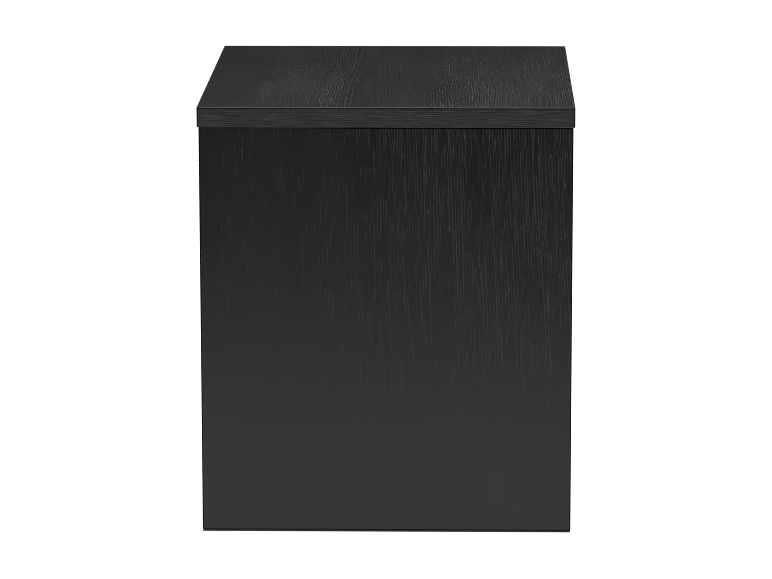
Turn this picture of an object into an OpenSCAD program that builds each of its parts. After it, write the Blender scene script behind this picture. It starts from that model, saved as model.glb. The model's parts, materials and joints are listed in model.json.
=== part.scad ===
// Closed wooden apple box: four veneered walls mitred round a centre brace, under a slab top
// that stands slightly proud, on a screwed-in bottom with four nail-on glides.
// Millimetres, +Z up, front face towards -Y, origin on the floor under the middle of the box.

/* [Overall] */
// Width of the top, left to right
top_w = 450; // [360:10:600]
// Depth of the top, front to back
top_d = 540; // [360:10:700]
// Height from the floor to the top surface
height = 520; // [360:10:700]
// How far the top stands out past the walls on every side
overhang = 2; // [0:0.5:10]

/* [Boards] */
// Finished thickness of the top
top_t = 24; // [20:1:40]
// Finished thickness of a wall
wall_t = 19; // [18:0.5:25]
// Thickness of each face and backing veneer
veneer_t = 0.6; // [0.4:0.1:1]
// Thickness of the edge bands round the top
band_t = 1.2; // [0.8:0.1:3]
// Chamfer along the long outer edges of the bands
arris = 0.6; // [0.1:0.1:0.7]
// Thickness of the plywood bottom and brace
ply_t = 18; // [17:1:24]

/* [Hand holes] */
// Length of a hand hole
hand_l = 120; // [90:5:160]
// Height of a hand hole
hand_h = 36; // [28:1:50]
// From the underside of the top down to the middle of a hand hole
hand_drop = 105; // [60:5:160]
// Chamfer round both mouths of a hand hole
hand_ease = 3; // [1:0.5:5]

/* [Inner framing] */
// Side of a square corner post
post_s = 25; // [20:1:40]
// Side of a square cleat
cleat_s = 20; // [18:1:25]
// Depth of the grooves that hold the brace
groove = 5; // [3:0.5:7]
// Width of a mitre spline, across the joint
spline_w = 14; // [10:1:16]
// Thickness of a mitre spline
spline_t = 4; // [3:0.5:4]

/* [Fixings] */
// Screws in each cleat, an even number so that none meets the brace
cleat_screws = 4; // [2:2:6]
// Length of a screw
screw_l = 35; // [30:1:36]
// Diameter of a dowel
dowel_d = 8; // [6:1:10]
// Length of a dowel
dowel_l = 30; // [24:1:36]

/* [Glides] */
// Diameter of a glide
glide_d = 24; // [18:1:32]
// Thickness of a glide
glide_t = 5; // [4:0.5:8]
// How far a glide reaches below the walls
glide_proud = 2; // [1:0.5:3]

/* [Hidden] */
$fn = 48;
SIDES = ["front", "right", "back", "left"];
CORNERS = ["front_left", "front_right", "back_right", "back_left"];
HAND_SIDES = ["right", "left"];
BRACED_SIDES = ["front", "back"];

body_w = top_w - 2 * overhang;
body_d = top_d - 2 * overhang;
inner_w = body_w - 2 * wall_t;
inner_d = body_d - 2 * wall_t;

wall_z = glide_proud;
under_top = height - top_t;
wall_h = under_top - wall_z;
bottom_z = glide_t;
floor_z = bottom_z + ply_t;
hand_z = under_top - hand_drop;

bottom_gap = 0.5;
spline_skin = 1.5;
spline_in = wall_t - veneer_t - spline_skin - (spline_w + spline_t) / sqrt(8);
dowel_up = 12;
dowel_spread = 0.35;
dowel_ease = 1;
screw_r = 2;
screw_hole_r = 2.25;
screw_head_r = 4;
screw_head_h = 2.2;
screw_tip = 5;
cross_l = 4.6;
cross_w = 1;
cross_h = 1.4;
brace_screw_spread = 0.3;
nail_r = 1.2;
nail_head_r = 2.8;
nail_head_h = 1;
nail_sink = 1.4;
nail_sink_r = 3;
nail_short = 1.6;
nail_l = floor_z - nail_sink - nail_short;
glide_ease = 1;
over = 1;

OAK = "#2a2a2b";
OAK_EDGE = "#38383a";
BOARD = "#3b332b";
BACKING = "#332f2b";
PLYWOOD = "#4a3f33";
SOFTWOOD = "#c9a77a";
BEECH = "#d8b88c";
STEEL = "#b9bcc0";
PLASTIC = "#19191a";

// Which of the four sides this is: 0 front, 1 right, 2 back, 3 left.
function turn(side) = search([side], SIDES)[0];
function corner_turn(corner) = search([corner], CORNERS)[0];
function across(i) = i % 2 == 1;
function wall_len(i) = across(i) ? body_d : body_w;
function cleat_len(i) = (across(i) ? inner_d : inner_w) - 2 * post_s;
function spaced(n, span) = [for (i = [0:n - 1]) ((i + 0.5) / n - 0.5) * span];
function has(list, side) = len([for (s = list) if (s == side) s]) > 0;

// Puts children in the frame of wall i: X along it, Y inwards from its outer face, Z from the floor.
module on_wall(i) {
    rotate([0, 0, 90 * i])
        translate([0, -(across(i) ? body_w : body_d) / 2, 0])
            children();
}

// One layer of a wall, between two depths from its outer face, mitred at both ends.
module wall_layer(i, from, to) {
    half = wall_len(i) / 2;
    on_wall(i)
        translate([0, 0, wall_z])
            linear_extrude(wall_h)
                polygon([
                    [from - half, from],
                    [half - from, from],
                    [half - to, to],
                    [to - half, to]
                ]);
}

// The tool that cuts a hand hole, through a wall and eased at both mouths.
module hand_hole() {
    r = hand_h / 2;
    half = hand_l / 2 - r;
    translate([0, 0, hand_z]) {
        translate([-half, -over, -r])
            cube([2 * half, wall_t + 2 * over, hand_h]);
        for (x = [-half, half])
            translate([x, -over, 0])
                rotate([-90, 0, 0])
                    cylinder(r = r, h = wall_t + 2 * over);
        hand_mouth(half, r);
        translate([0, wall_t, 0])
            mirror([0, 1, 0])
                hand_mouth(half, r);
    }
}

// The flare of one mouth, from y = 0 inwards.
module hand_mouth(half, r) {
    translate([-half, 0, 0])
        rotate([90, 0, 90])
            linear_extrude(2 * half)
                polygon([
                    [0, -r - hand_ease],
                    [hand_ease, -r],
                    [hand_ease, r],
                    [0, r + hand_ease]
                ]);
    for (x = [-half, half])
        translate([x, 0, 0])
            rotate([-90, 0, 0])
                cylinder(r1 = r + hand_ease, r2 = r, h = hand_ease);
}

// The spline at the left end of wall i, square across the mitre.
module corner_spline(i, grow = 0) {
    half = wall_len(i) / 2;
    on_wall(i)
        translate([spline_in - half, spline_in, wall_z - grow])
            rotate([0, 0, -45])
                translate([-spline_w / 2, -spline_t / 2, 0])
                    cube([spline_w, spline_t, wall_h + 2 * grow]);
}

// Every dowel in wall i, or with grow the holes for them.
module wall_dowels(i) {
    on_wall(i)
        for (x = [-1, 0, 1] * dowel_spread * wall_len(i))
            translate([x, wall_t / 2, under_top + dowel_up - dowel_l])
                dowel();
}

module dowel() {
    r = dowel_d / 2;
    cylinder(r1 = r - dowel_ease, r2 = r, h = dowel_ease);
    translate([0, 0, dowel_ease])
        cylinder(r = r, h = dowel_l - 2 * dowel_ease);
    translate([0, 0, dowel_l - dowel_ease])
        cylinder(r1 = r, r2 = r - dowel_ease, h = dowel_ease);
}

module wall_dowel_holes(i) {
    on_wall(i)
        for (x = [-1, 0, 1] * dowel_spread * wall_len(i))
            translate([x, wall_t / 2, under_top + dowel_up - dowel_l])
                cylinder(d = dowel_d, h = dowel_l);
}

// A countersunk wood screw that points up, with the face of its head at z = 0.
module screw() {
    difference() {
        union() {
            cylinder(r1 = screw_head_r, r2 = screw_r, h = screw_head_h);
            translate([0, 0, screw_head_h])
                cylinder(r = screw_r, h = screw_l - screw_head_h - screw_tip);
            translate([0, 0, screw_l - screw_tip])
                cylinder(r1 = screw_r, r2 = screw_r / 8, h = screw_tip);
        }
        for (a = [0, 90])
            rotate([0, 0, a])
                translate([-cross_l / 2, -cross_w / 2, -over])
                    cube([cross_l, cross_w, cross_h + over]);
    }
}

// The hole that a screw passes through: a sink for its head and room round its shank.
module screw_way(depth) {
    cylinder(r1 = screw_head_r, r2 = screw_hole_r, h = screw_head_h);
    cylinder(r = screw_hole_r, h = depth);
}

// The hole that a screw bites in, as wide as its shank, from a height along it to its point.
module screw_bite(from) {
    translate([0, 0, from])
        cylinder(r = screw_r, h = screw_l - from);
}

// Puts children at each screw of the cleats on wall i, at height z.
module at_cleat_screws(i, z) {
    on_wall(i)
        for (x = spaced(cleat_screws, cleat_len(i)))
            translate([x, wall_t + cleat_s / 2, z])
                children();
}

module at_top_screws() {
    for (i = [0:3])
        at_cleat_screws(i, under_top - cleat_s)
            children();
}

module at_brace_screws() {
    for (y = [-1, 0, 1] * brace_screw_spread * inner_d)
        translate([0, y, bottom_z])
            children();
}

// The core of a wall, with its spline grooves, dowel holes, brace groove and hand hole.
module wall_core(side) {
    i = turn(side);
    color(BOARD)
        difference() {
            wall_layer(i, veneer_t, wall_t - veneer_t);
            corner_spline(i, over);
            corner_spline((i + 1) % 4, over);
            wall_dowel_holes(i);
            wall_openings(side);
        }
}

module wall_veneer(side) {
    color(OAK)
        difference() {
            wall_layer(turn(side), 0, veneer_t);
            wall_openings(side);
        }
}

module wall_backing(side) {
    color(BACKING)
        difference() {
            wall_layer(turn(side), wall_t - veneer_t, wall_t);
            wall_openings(side);
        }
}

// What is cut through every layer of a wall: a hand hole, or the groove for the brace.
module wall_openings(side) {
    on_wall(turn(side)) {
        if (has(HAND_SIDES, side))
            hand_hole();
        if (has(BRACED_SIDES, side))
            translate([-ply_t / 2, wall_t - groove, floor_z + cleat_s])
                cube([ply_t, groove + over, under_top - floor_z - 2 * cleat_s]);
    }
}

module top_slab(from, to) {
    translate([band_t - top_w / 2, band_t - top_d / 2, height - to])
        cube([top_w - 2 * band_t, top_d - 2 * band_t, to - from]);
}

module top_holes() {
    for (i = [0:3])
        wall_dowel_holes(i);
    at_top_screws()
        screw_bite(cleat_s);
}

module top_core() {
    color(BOARD)
        difference() {
            top_slab(veneer_t, top_t - veneer_t);
            top_holes();
        }
}

module top_face_veneer() {
    color(OAK)
        top_slab(0, veneer_t);
}

module top_backing_veneer() {
    color(BACKING)
        difference() {
            top_slab(top_t - veneer_t, top_t);
            top_holes();
        }
}

// An edge band of the top. Those at the front and back cover the ends of the other two.
module top_band(side) {
    i = turn(side);
    length = across(i) ? top_d - 2 * band_t : top_w;
    edge = (across(i) ? top_w : top_d) / 2;
    color(OAK_EDGE)
        rotate([0, 0, 90 * i])
            translate([-length / 2, -edge, under_top])
                rotate([90, 0, 90])
                    linear_extrude(length)
                        polygon([
                            [0, arris],
                            [arris, 0],
                            [band_t, 0],
                            [band_t, top_t],
                            [arris, top_t],
                            [0, top_t - arris]
                        ]);
}

module spline(corner) {
    color(BEECH)
        corner_spline(corner_turn(corner));
}

// Puts children in a corner of the inside, with X and Y running inwards from it.
module in_corner(corner) {
    i = corner_turn(corner);
    x = i == 0 || i == 3 ? -1 : 1;
    y = i < 2 ? -1 : 1;
    translate([x * inner_w / 2, y * inner_d / 2, 0])
        scale([-x, -y, 1])
            children();
}

module post(corner) {
    color(SOFTWOOD)
        in_corner(corner)
            translate([0, 0, floor_z])
                cube([post_s, post_s, under_top - floor_z]);
}

module cleat(i, z) {
    on_wall(i)
        translate([-cleat_len(i) / 2, wall_t, z])
            cube([cleat_len(i), cleat_s, cleat_s]);
}

module top_cleat(side) {
    i = turn(side);
    color(SOFTWOOD)
        difference() {
            cleat(i, under_top - cleat_s);
            at_cleat_screws(i, under_top - cleat_s)
                screw_way(cleat_s + over);
        }
}

module bottom_cleat(side) {
    i = turn(side);
    color(SOFTWOOD)
        difference() {
            cleat(i, floor_z);
            at_cleat_screws(i, bottom_z)
                screw_bite(ply_t);
        }
}

// The upright web across the middle, notched round the cleats and let into the front and back.
module brace() {
    near = inner_d / 2 - cleat_s;
    far = inner_d / 2 + groove;
    low = floor_z + cleat_s;
    high = under_top - cleat_s;
    color(PLYWOOD)
        difference() {
            translate([-ply_t / 2, 0, 0])
                rotate([90, 0, 90])
                    linear_extrude(ply_t)
                        polygon([
                            [-near, floor_z], [near, floor_z], [near, low], [far, low],
                            [far, high], [near, high], [near, under_top], [-near, under_top],
                            [-near, high], [-far, high], [-far, low], [-near, low]
                        ]);
            at_brace_screws()
                screw_bite(ply_t);
        }
}

module at_glides() {
    for (corner = CORNERS)
        at_glide(corner)
            children();
}

module at_glide(corner) {
    in_corner(corner)
        translate([post_s, post_s, 0])
            children();
}

module bottom_panel() {
    w = inner_w - 2 * bottom_gap;
    d = inner_d - 2 * bottom_gap;
    color(PLYWOOD)
        difference() {
            translate([-w / 2, -d / 2, bottom_z])
                cube([w, d, ply_t]);
            for (i = [0:3])
                at_cleat_screws(i, bottom_z)
                    screw_way(ply_t + over);
            at_brace_screws()
                screw_way(ply_t + over);
            at_glides()
                cylinder(r = nail_r, h = nail_sink + nail_l);
        }
}

module top_dowels() {
    color(BEECH)
        for (i = [0:3])
            wall_dowels(i);
}

module top_screws() {
    color(STEEL)
        at_top_screws()
            screw();
}

module bottom_screws() {
    color(STEEL) {
        for (i = [0:3])
            at_cleat_screws(i, bottom_z)
                screw();
        at_brace_screws()
            screw();
    }
}

module glide(corner) {
    r = glide_d / 2;
    color(PLASTIC)
        at_glide(corner)
            difference() {
                union() {
                    cylinder(r1 = r - glide_ease, r2 = r, h = glide_ease);
                    translate([0, 0, glide_ease])
                        cylinder(r = r, h = glide_t - glide_ease);
                }
                translate([0, 0, -over])
                    cylinder(r = nail_sink_r, h = nail_sink + over);
                cylinder(r = nail_r, h = glide_t + over);
            }
}

module glide_nails() {
    color(STEEL)
        at_glides()
            translate([0, 0, nail_sink]) {
                translate([0, 0, -nail_head_h])
                    cylinder(r = nail_head_r, h = nail_head_h);
                cylinder(r = nail_r, h = nail_l - 2 * nail_r);
                translate([0, 0, nail_l - 2 * nail_r])
                    cylinder(r1 = nail_r, r2 = nail_r / 8, h = 2 * nail_r);
            }
}

top_core();
top_face_veneer();
top_backing_veneer();
for (side = SIDES) {
    top_band(side);
    wall_core(side);
    wall_veneer(side);
    wall_backing(side);
    top_cleat(side);
    bottom_cleat(side);
}
for (corner = CORNERS) {
    spline(corner);
    post(corner);
    glide(corner);
}
brace();
bottom_panel();
top_dowels();
top_screws();
bottom_screws();
glide_nails();
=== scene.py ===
import json
import math

import bmesh
import bpy
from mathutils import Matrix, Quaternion, Vector


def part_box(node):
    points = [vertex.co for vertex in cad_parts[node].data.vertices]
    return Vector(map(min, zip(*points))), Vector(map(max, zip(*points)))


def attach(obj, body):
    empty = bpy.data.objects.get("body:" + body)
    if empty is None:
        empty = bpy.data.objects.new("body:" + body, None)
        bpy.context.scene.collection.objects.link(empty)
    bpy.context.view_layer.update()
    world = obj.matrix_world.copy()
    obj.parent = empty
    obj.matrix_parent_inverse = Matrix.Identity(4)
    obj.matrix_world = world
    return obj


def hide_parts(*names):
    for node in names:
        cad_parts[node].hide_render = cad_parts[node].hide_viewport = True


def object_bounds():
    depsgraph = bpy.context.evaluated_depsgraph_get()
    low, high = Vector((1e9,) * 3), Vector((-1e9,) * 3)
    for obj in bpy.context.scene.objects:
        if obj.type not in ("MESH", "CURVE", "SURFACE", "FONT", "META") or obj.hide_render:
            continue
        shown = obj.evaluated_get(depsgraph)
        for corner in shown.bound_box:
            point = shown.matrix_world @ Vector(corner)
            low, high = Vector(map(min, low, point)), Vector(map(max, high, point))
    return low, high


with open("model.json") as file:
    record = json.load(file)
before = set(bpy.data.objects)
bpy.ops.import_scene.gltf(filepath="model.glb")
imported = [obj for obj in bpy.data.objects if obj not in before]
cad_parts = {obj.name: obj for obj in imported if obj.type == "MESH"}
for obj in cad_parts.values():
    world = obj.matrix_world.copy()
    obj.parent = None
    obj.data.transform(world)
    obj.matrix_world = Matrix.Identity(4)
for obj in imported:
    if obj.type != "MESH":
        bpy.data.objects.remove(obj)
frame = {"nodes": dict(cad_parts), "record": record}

MM = 0.001
SIDES = ("front", "right", "back", "left")
HOLED_SIDES = ("right", "left")
CORNERS = ("front_left", "front_right", "back_right", "back_left")

# Roundings and mesh steps that are finer than the frame's, in metres.
CORNER_ROUND = 0.8 * MM
END_ROUND = 0.5 * MM
BAND_ROUND = 0.6 * MM
BAND_CORNER_ROUND = 1.0 * MM
SEAM_BEVEL = 0.12 * MM
HAND_ROUND = 3 * MM
HAND_MARGIN = 14 * MM
GRID_STEP = 9 * MM
BAND_STEP = 4 * MM
ROUND_STEPS = 6
SHARP_ANGLE = math.radians(40)
SAME_POINT = 1e-7

# A glide, in metres: its roundings, the sink for its nail's head, and the bore for its shank.
GLIDE_FOOT_ROUND = 1.2 * MM
GLIDE_EDGE_ROUND = 0.3 * MM
GLIDE_SINK_RADIUS = 3 * MM
GLIDE_SINK_DEPTH = 1.4 * MM
GLIDE_BORE_RADIUS = 1.2 * MM
GLIDE_SIDES = 64

CAD_LOW, CAD_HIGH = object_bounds()
WALLS_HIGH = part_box("right_veneer")[1].x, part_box("back_veneer")[1].y
HAND_HOLE = next(m for m in frame["record"]["mounts"] if m["name"] == "hand_hole_right")
HAND_RADIUS = HAND_HOLE["dims"]["hole_r_mm"] * MM
HAND_HALF = HAND_HOLE["dims"]["slot_length_mm"] * MM / 2 - HAND_RADIUS
HAND_Z = HAND_HOLE["pos_m"][2]


# ---------------------------------------------------------------------------
# Meshes
# ---------------------------------------------------------------------------

def spread(low, high, step=GRID_STEP):
    """Evenly spaced numbers from low to high, about a step apart, with both ends."""
    count = max(1, round((high - low) / step))
    return [low + (high - low) * k / count for k in range(count)] + [high]


def joined(*runs):
    """Runs of numbers that meet end to end, as one list with each meeting point once."""
    return list(runs[0]) + [x for run in runs[1:] for x in run[1:]]


def quarter_steps(turn=math.pi / 2):
    """The angles of a rounding, from 0 to its whole turn."""
    return [turn * k / ROUND_STEPS for k in range(ROUND_STEPS + 1)]


def on_wall(side, reach):
    """Where a point lies that is given along a wall, inwards from its outer face, and up."""
    quarter = SIDES.index(side)

    def place(along, inwards, up):
        x, y = along, inwards - reach
        for _ in range(quarter):
            x, y = -y, x
        return Vector((x, y, up))

    return place


def border(i0, i1, j0, j1):
    """The (i, j) places round the edge of a block of grid points, in order."""
    return (
        [(i, j0) for i in range(i0, i1)]
        + [(i1, j) for j in range(j0, j1)]
        + [(i, j1) for i in range(i1, i0, -1)]
        + [(i0, j) for j in range(j1, j0, -1)]
    )


def stitch(bm, one, other):
    """Quads between two closed loops of vertices of the same length."""
    for k in range(len(one)):
        n = (k + 1) % len(one)
        bm.faces.new((one[k], one[n], other[n], other[k]))


def grid_solid(outer, inner, cell=None, rings=()):
    """A closed mesh between two grids of points, each a list of rows.

    With cell, the block of the grid that a hole goes through, rings are the loops of points
    that line the hole, each in the order of the block's border.
    """
    bm = bmesh.new()
    sheets = [[[bm.verts.new(p) for p in row] for row in rows] for rows in (outer, inner)]
    last_i, last_j = len(outer[0]) - 1, len(outer) - 1
    for rows in sheets:
        for j in range(last_j):
            for i in range(last_i):
                if cell and cell[0] <= i < cell[1] and cell[2] <= j < cell[3]:
                    continue
                bm.faces.new((rows[j][i], rows[j][i + 1], rows[j + 1][i + 1], rows[j + 1][i]))
    edges = [[rows[j][i] for i, j in border(0, last_i, 0, last_j)] for rows in sheets]
    stitch(bm, *edges)
    if cell:
        first, last = ([rows[j][i] for i, j in border(*cell)] for rows in sheets)
        loops = [first] + [[bm.verts.new(p) for p in ring] for ring in rings] + [last]
        for one, other in zip(loops, loops[1:]):
            stitch(bm, one, other)
    bmesh.ops.remove_doubles(bm, verts=bm.verts, dist=SAME_POINT)
    return bm


def ring_solid(rings):
    """A closed mesh through loops of points, the last joined to the first."""
    bm = bmesh.new()
    loops = [[bm.verts.new(p) for p in ring] for ring in rings]
    for one, other in zip(loops, loops[1:] + loops[:1]):
        stitch(bm, one, other)
    return bm


def new_piece(name, bm, material, slot, *nodes):
    """Makes an object of a mesh, which rides on the box and stands for these CAD nodes."""
    bmesh.ops.recalc_face_normals(bm, faces=bm.faces)
    mesh = bpy.data.meshes.new(name)
    bm.to_mesh(mesh)
    bm.free()
    mesh.shade_smooth()
    mesh.set_sharp_from_angle(angle=SHARP_ANGLE)
    mesh.materials.append(material)
    piece = bpy.data.objects.new(name, mesh)
    bpy.context.scene.collection.objects.link(piece)
    even = piece.modifiers.new("even_normals", "WEIGHTED_NORMAL")
    even.keep_sharp = True
    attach(piece, "root")
    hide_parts(*nodes)
    return piece


def ease(depth, thickness):
    """How much wider a hand hole is at a depth in its wall, with both its mouths rounded."""
    total = 0.0
    for below in (depth, thickness - depth):
        if below < HAND_ROUND:
            total += HAND_ROUND - math.sqrt(HAND_ROUND**2 - (HAND_ROUND - below) ** 2)
    return total


def hand_ring(place, corners, depth, wider):
    """The rim of a hand hole at one depth, each point facing its own point of the cell's border."""
    ring = []
    for along, up in corners:
        spine = max(-HAND_HALF, min(HAND_HALF, along))
        out = Vector((along - spine, up - HAND_Z)).normalized() * (HAND_RADIUS + wider)
        ring.append(place(spine + out.x, depth, HAND_Z + out.y))
    return ring


class Wall:
    """One wall's sizes, from its CAD layers, and the pieces that are built on them."""

    def __init__(self, side):
        self.side = side
        low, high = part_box(side + "_veneer")
        inner_low, inner_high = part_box(side + "_backing")
        axis = SIDES.index(side) % 2
        self.half = high[axis]
        self.reach = max(abs(high[1 - axis]), abs(low[1 - axis]))
        inside = min(abs(inner_high[1 - axis]), abs(inner_low[1 - axis]))
        self.thickness = self.reach - inside
        self.veneer = min(high - low)
        self.bottom, self.top = low.z, high.z
        self.place = on_wall(side, self.reach)

    def layer(self, start, end, rounded=0.0, eased=0.0):
        """A mitred layer between two depths. Its outer corners, head and foot can be rounded."""
        flat = self.half - max(start, rounded)
        holed = self.side in HOLED_SIDES
        cell_along, cell_up = HAND_HALF + HAND_RADIUS + HAND_MARGIN, HAND_RADIUS + HAND_MARGIN
        along_stops = [-flat, -cell_along, cell_along, flat] if holed else [-flat, flat]
        low, high = self.bottom + eased, self.top - eased
        up_stops = [low, HAND_Z - cell_up, HAND_Z + cell_up, high] if holed else [low, high]
        alongs = joined(*(spread(a, b) for a, b in zip(along_stops, along_stops[1:])))
        ups = joined(*(spread(a, b) for a, b in zip(up_stops, up_stops[1:])))
        turns = quarter_steps(math.pi / 4)[1:] if rounded else []
        rise_turns = quarter_steps()[:-1] if eased else []
        ends = [(eased * (1 - math.cos(t)), eased * (1 - math.sin(t))) for t in rise_turns]
        rows = [(self.bottom + rise, inset) for rise, inset in ends]
        rows += [(up, 0.0) for up in ups]
        rows += [(self.top - drop, inset) for drop, inset in reversed(ends)]
        shrink = (self.half - end) / (self.half - start)

        def corner(sign, turn, inset):
            radius = rounded - inset
            return sign * (flat + radius * math.sin(turn)), rounded - radius * math.cos(turn)

        outer, inner = [], []
        for up, inset in rows:
            line = [corner(-1, t, inset) for t in reversed(turns)]
            line += [(along, start + inset) for along in alongs]
            line += [corner(1, t, inset) for t in turns]
            outer.append([self.place(along, depth, up) for along, depth in line])
            edge = [self.half - start] * len(turns)
            inner_line = [-along for along in edge] + alongs + edge
            inner.append([self.place(along * shrink, end, up) for along in inner_line])
        if not holed:
            return grid_solid(outer, inner)

        i0, i1 = (len(turns) + alongs.index(x) for x in (-cell_along, cell_along))
        j0, j1 = (rows.index((z, 0.0)) for z in (HAND_Z - cell_up, HAND_Z + cell_up))
        corners = [(alongs[i - len(turns)], rows[j][0]) for i, j in border(i0, i1, j0, j1)]
        rings = [
            hand_ring(self.place, corners, depth, ease(depth, self.thickness))
            for depth in self.hole_depths(start, end)
        ]
        return grid_solid(outer, inner, (i0, i1, j0, j1), rings)

    def hole_depths(self, start, end):
        """The depths at which a layer's hand hole needs a ring, closer where it is rounded."""
        curve = [HAND_ROUND * (1 - math.cos(t)) for t in quarter_steps()]
        marks = curve + [self.thickness - d for d in reversed(curve)]
        return [start] + [d for d in marks if start < d < end] + [end]


def wall_pieces(side, oak, board, backing):
    """A wall's face veneer and, where it has a hand hole, its board and backing too."""
    wall = Wall(side)
    skin = wall.layer(0.0, wall.veneer, CORNER_ROUND, END_ROUND)
    new_piece(side + "_face", skin, oak, "black_oak_face", side + "_veneer")
    if side in HOLED_SIDES:
        core = wall.layer(wall.veneer, wall.thickness - wall.veneer)
        new_piece(side + "_board", core, board, "core_board", side + "_core")
        back = wall.layer(wall.thickness - wall.veneer, wall.thickness)
        new_piece(side + "_lining", back, backing, "backing_veneer", side + "_backing")


def band_section(thickness, low, high):
    """A band's profile from its upper inner edge, over both roundings, to its lower one."""
    turns = quarter_steps()
    top = [(BAND_ROUND * (1 - math.sin(t)), high - BAND_ROUND * (1 - math.cos(t))) for t in turns]
    middle = [(0.0, up) for up in spread(high - BAND_ROUND, low + BAND_ROUND, -BAND_STEP)][1:]
    foot = [(inset, low + high - up) for inset, up in reversed(top)][1:]
    return [(thickness, high)] + top + middle + foot + [(thickness, low)]


def edge_band(side, material):
    """An edge band of the top. The front and back ones wrap the slab's corners."""
    node = "top_band_" + side
    low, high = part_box(node)
    axis = SIDES.index(side) % 2
    half, reach = high[axis], max(abs(high[1 - axis]), abs(low[1 - axis]))
    thickness = min(high - low)
    place = on_wall(side, reach)
    wraps = axis == 0
    shares = [a / half for a in spread(-half, half)]
    turns = quarter_steps() if wraps else []

    def plan(inset):
        """The band's line at one inset, as places along it and depths."""
        centre = max(BAND_CORNER_ROUND, inset)
        radius = centre - inset
        flat = half - centre if wraps else half
        end = [(half - inset, thickness)] if wraps else []
        curl = [(flat + radius * math.cos(t), centre - radius * math.sin(t)) for t in turns]
        right = end + curl
        left = [(-along, depth) for along, depth in right]
        return left + [(share * flat, inset) for share in shares] + list(reversed(right))

    back = half - thickness if wraps else half
    tucked = [-back] * (len(turns) + wraps)
    back_line = tucked + [share * back for share in shares] + [-x for x in tucked]
    section = band_section(thickness, low.z, high.z)
    outer = [[place(a, d, up) for a, d in plan(inset)] for inset, up in section]
    inner = [[place(a, thickness, up) for a in back_line] for _, up in section]
    new_piece(node + "_rounded", grid_solid(outer, inner), material, "black_oak_edge", node)


def top_face(material):
    """The top's face veneer, with a hairline bevel where it meets the bands."""
    low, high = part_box("top_face_veneer")
    columns, rows = spread(low.x, high.x), spread(low.y, high.y)
    outer = [[Vector((x, y, high.z)) for x in columns] for y in rows]
    inner = [[Vector((x, y, low.z)) for x in columns] for y in rows]
    bm = grid_solid(outer, inner)
    piece = new_piece("top_face", bm, material, "black_oak_top", "top_face_veneer")
    bevel = piece.modifiers.new("seam", "BEVEL")
    bevel.width, bevel.segments, bevel.limit_method = SEAM_BEVEL, 2, "ANGLE"
    piece.modifiers.move(1, 0)  # The bevel comes before the weighted normals.


def glide(corner, material):
    """A moulded glide, turned about its nail, with a rounded foot and an eased sink."""
    node = "glide_" + corner
    low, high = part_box(node)
    centre, radius, height = (low + high) / 2, (high.x - low.x) / 2, high.z - low.z
    foot, edge, sink = GLIDE_FOOT_ROUND, GLIDE_EDGE_ROUND, GLIDE_SINK_RADIUS
    turns = quarter_steps()
    profile = [(sink, GLIDE_SINK_DEPTH), (sink, edge)]
    profile += [(sink + edge * (1 - math.cos(t)), edge * (1 - math.sin(t))) for t in turns[1:]]
    profile += [(radius - foot + foot * math.sin(t), foot * (1 - math.cos(t))) for t in turns]
    profile += [(radius, height - edge), (radius - edge, height)]
    profile += [(GLIDE_BORE_RADIUS, height), (GLIDE_BORE_RADIUS, GLIDE_SINK_DEPTH)]
    rings = [
        [
            Vector((
                centre.x + r * math.cos(math.tau * k / GLIDE_SIDES),
                centre.y + r * math.sin(math.tau * k / GLIDE_SIDES),
                low.z + up,
            ))
            for k in range(GLIDE_SIDES)
        ]
        for r, up in profile
    ]
    new_piece(node + "_moulded", ring_solid(rings), material, "glide_plastic", node)


# ---------------------------------------------------------------------------
# Materials
# ---------------------------------------------------------------------------

# The values between which nearly all of a noise texture lies.
NOISE_RANGE = (0.3, 0.7)

# Black oak, in mm: how far its grain bends, slowly and quickly, how wide its growth rings crown
# at the heart, and how far apart they are in the edge bands.
LEAN = 24.0
WAVE = 5.0
CROWN = 30.0
EDGE_RING = 2.5
# In rings: what keeps their count above 0, and how far a seed of 1 shifts it.
RINGS_BEFORE = 100.0
RING_SHIFT = 0.37
# The greys of its wood on the faces and in the bands, and of the bands' pores.
FACE_WOOD = 0.0083
EDGE_WOOD = 0.026
EDGE_PORES = 0.08
# How deep the pores are, in metres.
PORE_DEPTH = 0.05 * MM

# The birch plywood: its plies, and its thickness in mm.
PLIES = 13
PLY_BOARD = 18.0

# Dark lines along edges: where each starts and stops fading, in mm, and what it leaves.
ARRIS_LINE = (1.1, 1.7, 0.05)
FOOT_LINE = (1.0, 1.9, 0.1)
# The painted shadow of the top's overhang, a dark line at a wall's head: how soft it is, in mm,
# where along the wall it sets in, in mm, and how dark it is before and after that.
PAINTED_SHADOW_BLUR = 0.4
PAINTED_SHADOW_FADE = (-110, -50)
PAINTED_SHADOW_DARK = (0.2, 0.97)
# The dark line under a band's upper edge: where it sets in and ends, in mm down, and how dark.
SEAM_START = (0.7, 1.0)
SEAM_END = (1.7, 2.2)
SEAM_DARK = 0.75


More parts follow.
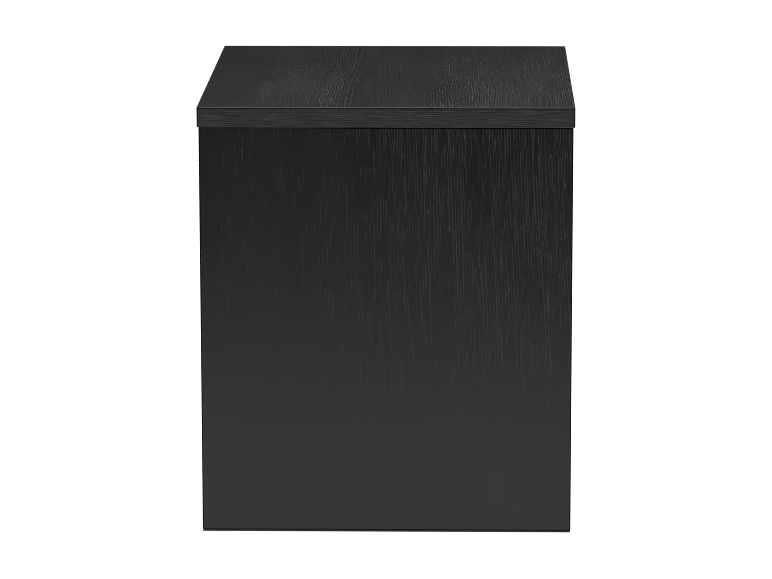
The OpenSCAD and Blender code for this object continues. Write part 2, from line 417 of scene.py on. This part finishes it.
class Nodes:
    """Writes one material's nodes. Any input takes a number, a colour or another node's output."""

    def __init__(self, name):
        self.material = bpy.data.materials.new(name)
        self.material.use_nodes = True
        self.tree = self.material.node_tree
        self.tree.nodes.clear()

    def node(self, kind, inputs=(), **settings):
        made = self.tree.nodes.new(kind)
        for key, value in settings.items():
            setattr(made, key, value)
        for key, value in dict(inputs).items():
            if isinstance(value, bpy.types.NodeSocket):
                self.tree.links.new(value, made.inputs[key])
            else:
                made.inputs[key].default_value = value
        return made

    def math(self, operation, *values):
        return self.node("ShaderNodeMath", enumerate(values), operation=operation).outputs[0]

    def add(self, one, other):
        return self.math("ADD", one, other)

    def times(self, one, other):
        return self.math("MULTIPLY", one, other)

    def largest(self, first, *others):
        for other in others:
            first = self.math("MAXIMUM", first, other)
        return first

    def step(self, value, low, high, start=0.0, end=1.0):
        """A smooth step of value from start, at low, to end, at high."""
        inputs = {"Value": value, "From Min": low, "From Max": high, "To Min": start, "To Max": end}
        made = self.node("ShaderNodeMapRange", inputs, interpolation_type="SMOOTHSTEP")
        return made.outputs["Result"]

    def point(self, x, y, z=0.0):
        return self.node("ShaderNodeCombineXYZ", {"X": x, "Y": y, "Z": z}).outputs[0]

    def scaled(self, u, v, w, du, dv, seed=0.0):
        """A place in a texture whose features are about du across and dv along, in mm."""
        return self.point(self.times(u, 1 / du), self.times(v, 1 / dv), self.add(w, seed))

    def noise(self, place, detail=2.0, roughness=0.5):
        inputs = {"Vector": place, "Scale": 1.0, "Detail": detail, "Roughness": roughness}
        return self.node("ShaderNodeTexNoise", inputs).outputs[0]

    def board_noise(self, u, v, wide, long, seed, detail=1.0, roughness=0.5):
        """A noise over a board, its features about wide across the grain and long along it."""
        return self.noise(self.scaled(u, v, 0.0, wide, long, seed), detail, roughness)

    def ranged(self, noise, low, high):
        """A noise as a number from low to high."""
        return self.step(noise, *NOISE_RANGE, low, high)

    def cells(self, place):
        """Scattered cells: how far a point is from its cell's middle, and a number for the cell."""
        made = self.node("ShaderNodeTexVoronoi", {"Vector": place, "Scale": 1.0})
        number = self.node("ShaderNodeSeparateColor", {"Color": made.outputs["Color"]})
        return made.outputs["Distance"], number.outputs[0]

    def blend(self, share, one, other):
        made = self.node("ShaderNodeMix", {0: share, 6: one, 7: other}, data_type="RGBA")
        return made.outputs[2]

    def shade(self, share, colour):
        """A colour made darker, or lighter where share is more than 1."""
        plain = colour if isinstance(colour, bpy.types.NodeSocket) else colour[:3]
        inputs = {0: plain, "Scale": share}
        return self.node("ShaderNodeVectorMath", inputs, operation="SCALE").outputs[0]

    def faded(self, clear, colour):
        """A base colour and a metal share that leave a surface black, without gloss, at clear 0."""
        return self.shade(clear, colour), self.math("SUBTRACT", 1.0, clear)

    def stops(self, value, places):
        """A number that follows value through (place, number) pairs, from 0 to 1."""
        made = self.node("ShaderNodeValToRGB", {"Fac": value})
        ramp = made.color_ramp.elements
        while len(ramp) < len(places):
            ramp.new(0.5)
        for element, (place, number) in zip(ramp, places):
            element.position = place
            element.color = (number, number, number, 1)
        return made.outputs["Color"]

    def axes(self, order):
        """The place on the object in millimetres, its axes in this order."""
        inputs = {0: self.node("ShaderNodeTexCoord").outputs["Object"], 1: (1 / MM,) * 3}
        large = self.node("ShaderNodeVectorMath", inputs, operation="MULTIPLY")
        split = self.node("ShaderNodeSeparateXYZ", {0: large.outputs[0]})
        return [split.outputs["XYZ".index(letter)] for letter in order]

    def bump(self, height, distance):
        """A normal from a height of 0 to 1, which stands for a distance in metres."""
        made = self.node("ShaderNodeBump", {"Height": height, "Distance": distance})
        return made.outputs["Normal"]

    def surface(self, inputs):
        shader = self.node("ShaderNodeBsdfPrincipled", inputs)
        self.node("ShaderNodeOutputMaterial", {"Surface": shader.outputs[0]})
        return self.material


def grey(value, warmth=0.0):
    """A grey as a colour. Warmth moves it towards red, or towards blue when it is negative."""
    return (value * (1 + warmth), value, value * (1 - warmth), 1)


def pores(g, u, v, wide, long, seed, share):
    """Lens-shaped pores that run along the grain. share is how much of the board has them."""
    distance, number = g.cells(g.scaled(u, v, 0.0, wide, long, seed))
    shape = g.step(distance, 0.42, 0.16)
    kept = g.step(number, g.math("SUBTRACT", 1.0, share), g.math("SUBTRACT", 1.12, share))
    return g.times(shape, kept)


def counted(g, rings, seed):
    """A count of growth rings, shifted by its seed and kept above 0."""
    return g.add(rings, RINGS_BEFORE + seed * RING_SHIFT)


def from_row(g, count):
    """How far a point is from the middle of its growth ring, from 0 to half a ring."""
    return g.math("ABSOLUTE", g.math("SUBTRACT", g.math("FRACT", count), 0.5))


def pore_row(g, rings, ring, v, long, seed, share, half):
    """One row of pores in each growth ring: a hairline, broken up along the grain.

    rings counts the growth rings, ring is their spacing and half is half the row's width, in mm.
    """
    count = counted(g, rings, seed)
    number = g.math("FLOOR", count)
    line = g.step(g.times(from_row(g, count), ring), half * 1.5, half * 0.5)
    dashes = g.noise(g.point(g.times(v, 1 / long), g.times(number, 7.31), seed), 1.0)
    start = g.step(share, 0.0, 1.0, 0.68, 0.36)
    kept = g.step(dashes, start, g.add(start, 0.05))
    strength = g.noise(g.point(g.times(number, 3.7), g.times(v, 0.002), seed + 5), 0.0)
    return g.times(g.times(line, kept), g.step(strength, 0.3, 0.65, 0.35, 1.0))


def beyond(g, place, edge, line):
    """1 beyond a dark line that starts at an edge, and what the line leaves within it."""
    start, end, left = line
    return g.step(place, edge + start, edge + end, left, 1.0)


def wall_edges(g, order, u, v, gap):
    """1 over a wall's face, and next to nothing in the dark lines painted along its arrises and
    foot and, with gap, in the painted shadow of the top's overhang at its head.
    """
    corner = WALLS_HIGH["XY".index(order[0])] / MM
    foot, head = (x.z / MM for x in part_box("front_veneer"))
    inwards = g.math("SUBTRACT", corner, g.math("ABSOLUTE", u))
    clear = g.times(beyond(g, inwards, 0.0, ARRIS_LINE), beyond(g, v, foot, FOOT_LINE))
    # The top's overhang: a painted shadow, a dark line at the wall's head that sets in along the
    # wall.
    if gap:
        under = g.step(v, head - gap, head - gap + PAINTED_SHADOW_BLUR)
        dark = g.times(under, g.step(u, *PAINTED_SHADOW_FADE, *PAINTED_SHADOW_DARK))
        clear = g.times(clear, g.math("SUBTRACT", 1.0, dark))
    return clear


def share_along(g, axis, place):
    """How far along the object's axis a place in mm lies, from 0 to 1."""
    low, high = (end["XYZ".index(axis)] / MM for end in (CAD_LOW, CAD_HIGH))
    return g.math("DIVIDE", g.math("SUBTRACT", place, low), high - low)


def bend(g, u, v, seed, sway, fray):
    """The place across the grain as the grain bends it, and how far that moves it on average."""
    lean = g.board_noise(u, v, 160, 360, seed)
    wave = g.board_noise(u, v, 34, 150, seed + 3)
    bent = g.add(g.add(u, g.times(lean, LEAN * sway)), g.times(wave, WAVE * sway))
    if fray:
        bent = g.add(bent, g.times(g.board_noise(u, v, 5, 26, seed + 4), fray))
    return bent, (LEAN + WAVE) / 2 * sway + fray / 2


def black_oak(
    name, order, seed, heart, across, along,
    ring=4.0, taper=0.04, fan=False, sway=1.0, fray=0.0, dash=1.0, row=0.26, later_rows=0.7,
    lined=0.15, open_grey=0.06, gap=0.0,
):
    """Oak veneer under a thin black stain, its pores left open and lighter.

    order names the axes across the grain, along it and through the board. heart is where the
    growth rings crown, ring is how far apart they are, and taper is how fast they run out along
    the board, or with fan only towards its high edge. sway is how much the grain bends and fray
    how ragged it is. across and along say how open the pores are over the board, as stops from
    its low edge to its high one. Rows of pores are about twice row wide, dash is how long the
    pores are, later_rows how many come after the first row of each ring, and lined how clearly
    the rings themselves show. open_grey is the pores' grey. gap is how wide the
    painted shadow is that the top's overhang casts at a wall's head, a dark line without gloss.
    heart, ring, fray, row and gap are in mm.
    """
    g = Nodes(name)
    u, v, _ = g.axes(order)
    bent, mean_bend = bend(g, u, v, seed, sway, fray)
    from_heart = g.math("SUBTRACT", bent, heart + mean_bend)
    radius = g.math("SQRT", g.add(g.math("POWER", from_heart, 2.0), CROWN**2))
    width_share, length_share = share_along(g, order[0], u), share_along(g, order[1], v)
    tilt = g.times(v, taper)
    if fan:
        tilt = g.times(tilt, g.math("POWER", width_share, 2.0))
    rings = g.times(g.math("SUBTRACT", radius, tilt), 1 / ring)
    slope = g.math("DIVIDE", g.math("ABSOLUTE", from_heart), radius)
    ring_here = g.math("DIVIDE", ring, g.largest(slope, 0.2))

    patches = g.step(g.board_noise(u, v, 20, 170, seed + 7, 2.0), 0.3, 0.6, 0.7, 1.0)
    openness = g.times(g.stops(width_share, across), g.stops(length_share, along))
    share = g.times(g.times(openness, patches), g.step(slope, 0.2, 0.5))

    fewer, fewest = g.times(share, later_rows), g.times(share, later_rows * 0.8)
    first_row = pore_row(g, rings, ring_here, v, 42 * dash, seed, share, row)
    second_row = pore_row(g, rings, ring_here, v, 24 * dash, seed + 1.3, fewer, row * 0.8)
    third_row = pore_row(g, rings, ring_here, v, 60 * dash, seed + 2.1, fewest, row * 0.8)
    stray = pores(g, bent, v, 1.1, 12, seed + 23, g.times(openness, 0.18))
    rows = g.times(g.largest(first_row, second_row, third_row), g.step(slope, 0.1, 0.4))
    opened = g.largest(rows, g.times(stray, 0.8))

    streaks = g.board_noise(bent, v, 2.1, 130, seed + 31, 3.0, 0.6)
    clouds = g.board_noise(u, v, 90, 220, seed + 37, 2.0)
    depth = g.add(0.08, g.times(openness, 0.2))
    closed = g.step(openness, 0.2, 1.0, 1.0, 0.5)
    tone = g.add(closed, g.times(depth, g.step(streaks, 0.28, 0.72, -1.0, 1.0)))
    off = from_row(g, counted(g, rings, seed))
    broken = g.ranged(g.board_noise(bent, v, 7, 55, seed + 47), 0.0, 2.0)
    strength = g.times(g.times(broken, openness), g.step(slope, 0.3, 0.7, lined * 0.3, lined))
    lines = g.add(1.0, g.times(g.step(off, 0.08, 0.42, 1.0, -1.0), strength))
    tone = g.times(tone, g.largest(lines, 0.15))
    tone = g.times(tone, g.ranged(clouds, 0.94, 1.06))
    wood = g.shade(tone, grey(FACE_WOOD))
    lit = g.times(opened, g.add(0.2, g.times(openness, 0.8)))
    colour = g.blend(lit, wood, grey(open_grey))
    metallic = 0.0
    # On the walls: dark lines painted along the arrises and foot, and at the front's head a painted
    # shadow of the overhang, all black without gloss.
    if order[1] == "Z":
        colour, metallic = g.faded(wall_edges(g, order, u, v, gap), colour)
    fibres = g.board_noise(bent, v, 0.5, 11, seed + 41, 2.0)
    height = g.math("SUBTRACT", g.add(g.times(streaks, 0.16), g.times(fibres, 0.12)), opened)
    return g.surface({
        "Base Color": colour,
        "Metallic": metallic,
        "Roughness": g.add(g.times(opened, 0.3), g.ranged(clouds, 0.36, 0.41)),
        "Normal": g.bump(height, PORE_DEPTH),
    })


def edge_oak(name, order, seed):
    """A solid oak edge band under the same stain, with close straight grain along its length."""
    g = Nodes(name)
    u, v, w = g.axes(order)
    wave = g.times(g.board_noise(u, v, 30, 110, seed), 5.0)
    fray = g.times(g.board_noise(u, v, 4, 24, seed + 2), 1.6)
    bent = g.add(u, g.add(wave, fray))
    rings = g.times(bent, 1 / EDGE_RING)
    streaks = g.noise(g.scaled(bent, v, w, 1.6, 38, seed + 5), 3.0, 0.6)
    off = from_row(g, counted(g, rings, 0.0))
    broken = g.step(g.board_noise(u, v, 3.5, 40, seed + 9), 0.3, 0.65, 0.0, 0.5)
    opened = pore_row(g, rings, EDGE_RING, v, 22, seed + 13, 0.55, 0.22)
    tone = g.times(
        g.step(streaks, 0.28, 0.72, 0.68, 1.32),
        g.add(1.0, g.times(g.step(off, 0.08, 0.42, 1.0, -1.0), broken)),
    )
    below = g.math("SUBTRACT", CAD_HIGH.z / MM, u)
    seam = g.times(g.step(below, *SEAM_START), g.step(below, *SEAM_END, 1.0, 0.0))
    inwards = g.math("SUBTRACT", CAD_HIGH["XYZ".index(order[1])] / MM, g.math("ABSOLUTE", v))
    under_seam = g.add(1.0, g.times(seam, -SEAM_DARK))
    clear = g.times(under_seam, beyond(g, inwards, 0.0, ARRIS_LINE))
    wood = g.shade(tone, grey(EDGE_WOOD))
    colour, metallic = g.faded(clear, g.blend(g.times(opened, 0.5), wood, grey(EDGE_PORES)))
    height = g.math("SUBTRACT", g.times(streaks, 0.4), opened)
    return g.surface({
        "Base Color": colour,
        "Metallic": metallic,
        "Roughness": g.add(0.4, g.times(opened, 0.25)),
        "Normal": g.bump(height, PORE_DEPTH),
    })


def core_board():
    """Fine fibreboard, sealed and stained black where a hole is cut through it."""
    g = Nodes("core_board")
    u, v, w = g.axes("XYZ")
    fibres = g.noise(g.scaled(u, v, w, 0.8, 0.8), 4.0, 0.7)
    specks, number = g.cells(g.scaled(u, v, w, 1.6, 1.6))
    tone = g.ranged(fibres, 0.6, 1.4)
    colour = g.shade(tone, grey(0.016, 0.03))
    fleck = g.times(g.step(specks, 0.3, 0.1), g.step(number, 0.7, 0.9))
    return g.surface({
        "Base Color": g.blend(g.times(fleck, 0.4), colour, grey(0.04, 0.06)),
        "Roughness": g.ranged(fibres, 0.5, 0.68),
        "Normal": g.bump(fibres, 0.08 * MM),
    })


def plain_wood(name, order, seed, light, dark, ring=9.0):
    """Planed wood with growth rings along its length. light and dark are its two tones."""
    g = Nodes(name)
    u, v, w = g.axes(order)
    wave = g.times(g.noise(g.scaled(u, v, w, 40, 260, seed), 1.0), 16.0)
    distance = g.math("SQRT", g.add(
        g.math("POWER", g.add(u, g.add(wave, 30.0)), 2.0), g.math("POWER", g.add(w, 45.0), 2.0)
    ))
    part = g.math("FRACT", g.times(distance, 1 / ring))
    late = g.times(g.step(part, 0.35, 0.9), g.step(part, 1.0, 0.94))
    streaks = g.noise(g.scaled(u, v, w, 0.9, 34, seed + 5), 3.0, 0.6)
    fine = g.step(streaks, 0.35, 0.75, 0.0, 0.35)
    share = g.math("MINIMUM", g.add(g.times(late, 0.75), fine), 1.0)
    return g.surface({
        "Base Color": g.blend(share, light, dark),
        "Roughness": g.ranged(streaks, 0.56, 0.68),
        "Normal": g.bump(g.add(streaks, g.times(late, 0.5)), 0.04 * MM),
    })


def stained_plywood(name, order, seed):
    """Birch plywood under a thin black stain: rotary-cut faces, and plies in its edges."""
    g = Nodes(name)
    u, v, w = g.axes(order)
    wave = g.board_noise(u, v, 70, 190, seed, 3.0, 0.55)
    figure = g.math("FRACT", g.times(wave, 9.0))
    band = g.times(g.step(figure, 0.0, 0.5), g.step(figure, 1.0, 0.6))
    streaks = g.noise(g.scaled(u, v, w, 1.0, 30, seed + 5), 3.0, 0.6)
    tone = g.times(g.step(band, 0.0, 1.0, 0.85, 1.2), g.ranged(streaks, 0.8, 1.2))
    face = g.shade(tone, (0.030, 0.025, 0.020))
    ply = g.math("FRACT", g.times(g.add(w, 200.0), PLIES / PLY_BOARD / 2))
    edge = g.blend(g.step(ply, 0.45, 0.55), (0.034, 0.027, 0.020, 1), (0.014, 0.012, 0.010, 1))
    normal = g.node("ShaderNodeNewGeometry").outputs["True Normal"]
    through = g.node("ShaderNodeSeparateXYZ", {0: normal}).outputs["XYZ".index(order[2])]
    facing = g.step(g.math("ABSOLUTE", through), 0.5, 0.7)
    return g.surface({
        "Base Color": g.blend(facing, edge, face),
        "Roughness": g.ranged(streaks, 0.5, 0.66),
        "Normal": g.bump(streaks, 0.04 * MM),
    })


def zinc_steel():
    """Bright zinc plate with faint blotches and turning marks."""
    g = Nodes("zinc_steel")
    u, v, w = g.axes("XYZ")
    blotch = g.noise(g.scaled(u, v, w, 2.2, 2.2), 3.0, 0.6)
    marks = g.noise(g.scaled(u, v, w, 0.25, 0.25), 2.0)
    shine = g.ranged(blotch, 0.0, 1.0)
    return g.surface({
        "Base Color": g.blend(shine, (0.46, 0.48, 0.50, 1), (0.60, 0.60, 0.58, 1)),
        "Metallic": 1.0,
        "Roughness": g.ranged(blotch, 0.26, 0.42),
        "Normal": g.bump(marks, 0.01 * MM),
    })


def glide_plastic():
    """Moulded black nylon with a fine spark-eroded texture."""
    g = Nodes("glide_plastic")
    u, v, w = g.axes("XYZ")
    grain = g.noise(g.scaled(u, v, w, 0.35, 0.35), 3.0, 0.6)
    wear = g.noise(g.scaled(u, v, w, 6, 6), 2.0)
    return g.surface({
        "Base Color": g.blend(g.ranged(wear, 0.0, 1.0), grey(0.010), grey(0.018)),
        "Roughness": g.ranged(grain, 0.42, 0.56),
        "Normal": g.bump(grain, 0.02 * MM),
    })


def dress(nodes, material):
    """Gives a material to CAD nodes that stay in view."""
    for name in nodes:
        node = frame["nodes"][name]
        if not node.material_slots:
            node.data.materials.append(material)
        for place in node.material_slots:
            place.material = material


# ---------------------------------------------------------------------------
# The box
# ---------------------------------------------------------------------------

def outside():
    """The veneered walls and the top."""
    upwards = [(0.0, 0.6), (0.5, 0.85), (1.0, 0.75)]
    faces = {
        "front": black_oak(
            "black_oak_front", "XZY", 2.0, -330, taper=-0.07, fan=True, sway=0.6, row=0.2,
            # The front's head gets a painted shadow of the top's overhang.
            later_rows=0.6, open_grey=0.07, gap=1.9,
            across=[(0.0, 0.42), (0.4, 0.54), (0.46, 0.84), (0.8, 0.92), (1.0, 1.0)],
            along=[(0.0, 0.2), (0.24, 0.26), (0.42, 0.66), (0.62, 0.8), (0.86, 0.8), (0.95, 1.0)],
        ),
        "right": black_oak(
            "black_oak_right", "YZX", 14.0, 70,
            across=[(0.0, 0.7), (0.3, 0.9), (0.5, 0.4), (0.68, 0.35), (0.8, 0.8), (1.0, 0.7)],
            along=upwards,
        ),
        "back": black_oak(
            "black_oak_back", "XZY", 29.0, 40,
            across=[(0.0, 0.9), (0.35, 0.7), (0.5, 0.35), (0.7, 0.4), (1.0, 0.9)],
            along=upwards,
        ),
        "left": black_oak(
            "black_oak_left", "YZX", 43.0, -110,
            across=[(0.0, 0.65), (0.18, 0.6), (0.45, 0.85), (0.7, 0.7), (1.0, 0.9)],
            along=upwards,
        ),
    }
    top = black_oak(
        "black_oak_top", "XYZ", 57.0, -25,
        ring=3.1, taper=-0.01, sway=0.9, fray=4.0, dash=0.3, later_rows=0.4, lined=1.8,
        open_grey=0.078,
        across=[
            (0.0, 0.1), (0.13, 0.15), (0.16, 0.8), (0.42, 0.76),
            (0.47, 0.3), (0.6, 0.34), (0.64, 0.76), (1.0, 0.92),
        ],
        along=[(0.0, 1.0), (0.5, 0.85), (1.0, 0.5)],
    )
    board = core_board()
    backing = plain_wood("backing_veneer", "YZX", 5.0, grey(0.036, 0.12), grey(0.018, 0.12))
    for side in SIDES:
        wall_pieces(side, faces[side], board, backing)
    top_face(top)
    along_width = edge_oak("black_oak_edge_long", "ZXY", 3.0)
    along_depth = edge_oak("black_oak_edge_deep", "ZYX", 8.0)
    for side, oak in zip(SIDES, (along_width, along_depth) * 2):
        edge_band(side, oak)
    dress(["top_core", "front_core", "back_core"], board)
    dress(["top_backing_veneer", "front_backing", "back_backing"], backing)


def inside():
    """The framing, the brace and the bottom, seen through the hand holes and from below."""
    pine_light, pine_dark = (0.60, 0.42, 0.23, 1), (0.42, 0.24, 0.10, 1)
    pine = {
        order: plain_wood("pine_" + order[1].lower(), order, 11.0, pine_light, pine_dark)
        for order in ("XZY", "YXZ", "XYZ")
    }
    dress(["post_" + corner for corner in CORNERS], pine["XZY"])
    for level in ("top_cleat_", "bottom_cleat_"):
        dress([level + "front", level + "back"], pine["YXZ"])
        dress([level + "left", level + "right"], pine["XYZ"])
    beech = plain_wood("beech", "XZY", 17.0, (0.58, 0.40, 0.24, 1), (0.46, 0.29, 0.16, 1), ring=4.0)
    dress(["spline_" + corner for corner in CORNERS] + ["top_dowels"], beech)
    dress(["brace"], stained_plywood("stained_plywood_brace", "YZX", 21.0))
    dress(["bottom_panel"], stained_plywood("stained_plywood_bottom", "XYZ", 26.0))
    dress(["top_screws", "bottom_screws", "glide_nails"], zinc_steel())
    plastic = glide_plastic()
    for corner in CORNERS:
        glide(corner, plastic)


# ---------------------------------------------------------------------------
# Studio
# ---------------------------------------------------------------------------

WHITE = (1.0, 1.0, 1.0, 1.0)
BACKDROP = 1.2

# The floor: its size in metres, its own white, its light, and how softly that ends at the box.
FLOOR_HALF = 30.0
FLOOR_WHITE = 0.5
FLOOR_LIGHT = 0.95
FLOOR_EDGE = 0.5 * MM

# The floor as gloss sees it, from near the box to far: its drop below the floor, where its warm
# tint and its shade change, and where it fades out, all in metres.
GLOW_DROP = 2 * MM
GLOW_WARM = (1.07, 1.0, 0.95, 1.0)
GLOW_WARM_REACH = (0.7, 1.3)
GLOW_SHADE_REACH = (0.2, 1.0)
GLOW_SHADE = (0.94, 1.14)
GLOW_FADE = (0.9, 2.1)

# The room: its radius in metres, its tint and strength in gloss, and its light on the rest.
ROOM_RADIUS = FLOOR_HALF * 0.98
ROOM_TINT = (0.82, 0.82, 1.0, 1.0)
ROOM_GLOW = 0.056
ROOM_LIGHT = 0.3

LAMP_AT = Vector((0.15, 0.0, 2.5))
LAMP_SIZE = 1.7
LAMP_POWER = 70.0

# The camera, with its lens and sensor in mm. The filter is in pixels.
LENS = 183.6
SENSOR = 36.0
FURTHEST = 200.0
CAMERA_AT = Vector((0.103, -4.890, 1.226))
CAMERA_AIM = Vector((0.0, -0.270, 0.300))
CAMERA_ROLL = math.radians(-0.09)
PIXEL_FILTER = 1.1


def stage_mesh(name, bm, material):
    mesh = bpy.data.meshes.new(name)
    bm.to_mesh(mesh)
    bm.free()
    mesh.materials.append(material)
    made = bpy.data.objects.new(name, mesh)
    bpy.context.scene.collection.objects.link(made)
    return made


def square(half, height):
    bm = bmesh.new()
    corners = [(-half, -half), (half, -half), (half, half), (-half, half)]
    bm.faces.new([bm.verts.new((x, y, height)) for x, y in corners])
    return bm


def floor():
    """A plain white floor, lit from within except under the box. The box's gloss doesn't see it."""
    g = Nodes("floor_white")
    where = g.node("ShaderNodeTexCoord").outputs["Object"]
    split = g.node("ShaderNodeSeparateXYZ", {0: where})
    outwards = [
        g.math("SUBTRACT", g.math("ABSOLUTE", split.outputs[axis]), WALLS_HIGH[axis])
        for axis in (0, 1)
    ]
    light = g.step(g.largest(*outwards), -FLOOR_EDGE, FLOOR_EDGE, 0.0, FLOOR_LIGHT)
    matt = g.node("ShaderNodeBsdfDiffuse", {"Color": grey(FLOOR_WHITE)})
    lit = g.node("ShaderNodeEmission", {"Color": WHITE, "Strength": light})
    both = g.node("ShaderNodeAddShader", {0: matt.outputs[0], 1: lit.outputs[0]})
    g.node("ShaderNodeOutputMaterial", {"Surface": both.outputs[0]})
    g.material.cycles.emission_sampling = "NONE"
    made = stage_mesh("floor", square(FLOOR_HALF, 0.0), g.material)
    made.visible_glossy = False


def glow(name, light_at):
    """A material that only gives light. light_at works out its colour and strength at a place."""
    g = Nodes(name)
    where = g.node("ShaderNodeTexCoord").outputs["Object"]
    colour, strength = light_at(g, where)
    shader = g.node("ShaderNodeEmission", {"Color": colour, "Strength": strength})
    g.node("ShaderNodeOutputMaterial", {"Surface": shader.outputs[0]})
    g.material.cycles.emission_sampling = "NONE"
    return g.material


def seen_by(made, gloss=False, diffuse=False):
    """The object is out of sight and casts no shadow, but lights gloss or matt surfaces."""
    made.visible_camera = False
    made.visible_glossy = gloss
    made.visible_diffuse = diffuse
    made.visible_shadow = False
    made.visible_transmission = False
    made.visible_volume_scatter = False


def dome(name, light_name, colour, strength):
    """A dome round the scene that gives the same light everywhere."""
    bm = bmesh.new()
    bmesh.ops.create_icosphere(bm, subdivisions=4, radius=ROOM_RADIUS)
    return stage_mesh(name, bm, glow(light_name, lambda g, where: (colour, strength)))


def reflected_floor():
    """The lit patch of floor round the box, as its gloss sees it: warm and bright close by."""
    def light_at(g, where):
        flat = g.node("ShaderNodeVectorMath", {0: where, 1: (1, 1, 0)}, operation="MULTIPLY")
        reach = g.node("ShaderNodeVectorMath", {0: flat.outputs[0]}, operation="LENGTH")
        away = reach.outputs["Value"]
        tint = g.blend(g.step(away, *GLOW_WARM_REACH), GLOW_WARM, WHITE)
        shaded = g.step(away, *GLOW_SHADE_REACH, *GLOW_SHADE)
        return tint, g.times(shaded, g.step(away, *GLOW_FADE, 1.0, 0.0))

    material = glow("floor_glow", light_at)
    seen_by(stage_mesh("reflected_floor", square(FLOOR_HALF, -GLOW_DROP), material), gloss=True)


def reflected_room():
    """The dim room beyond the floor, as the box's gloss sees it."""
    seen_by(dome("reflected_room", "room_glow", ROOM_TINT, ROOM_GLOW), gloss=True)


def soft_room():
    """Faint even light from all round, for everything that isn't gloss."""
    seen_by(dome("soft_room", "soft_light", WHITE, ROOM_LIGHT), diffuse=True)


def lamp():
    """One large soft lamp overhead."""
    light = bpy.data.lights.new("overhead", "AREA")
    light.shape = "SQUARE"
    light.size = LAMP_SIZE
    light.energy = LAMP_POWER
    made = bpy.data.objects.new("overhead", light)
    made.location = LAMP_AT
    bpy.context.scene.collection.objects.link(made)


def backdrop():
    """Plain white all round, which lights nothing."""
    world = bpy.data.worlds.new("backdrop")
    bpy.context.scene.world = world
    world.use_nodes = True
    background = world.node_tree.nodes["Background"]
    background.inputs["Color"].default_value = WHITE
    background.inputs["Strength"].default_value = BACKDROP
    world.cycles_visibility.glossy = False
    world.cycles_visibility.diffuse = False


def camera():
    """The lens, place and tilt of the main view."""
    data = bpy.data.cameras.new("camera")
    data.sensor_width, data.lens, data.clip_end = SENSOR, LENS, FURTHEST
    made = bpy.data.objects.new("camera", data)
    made.location = CAMERA_AT
    made.rotation_mode = "QUATERNION"
    level = (CAMERA_AIM - CAMERA_AT).to_track_quat("-Z", "Y")
    made.rotation_quaternion = level @ Quaternion((0, 0, 1), CAMERA_ROLL)
    bpy.context.scene.collection.objects.link(made)
    bpy.context.scene.camera = made


def studio():
    floor()
    reflected_floor()
    reflected_room()
    soft_room()
    lamp()
    backdrop()
    camera()
    bpy.context.scene.view_settings.view_transform = "Standard"
    bpy.context.scene.cycles.filter_width = PIXEL_FILTER


outside()
inside()
studio()
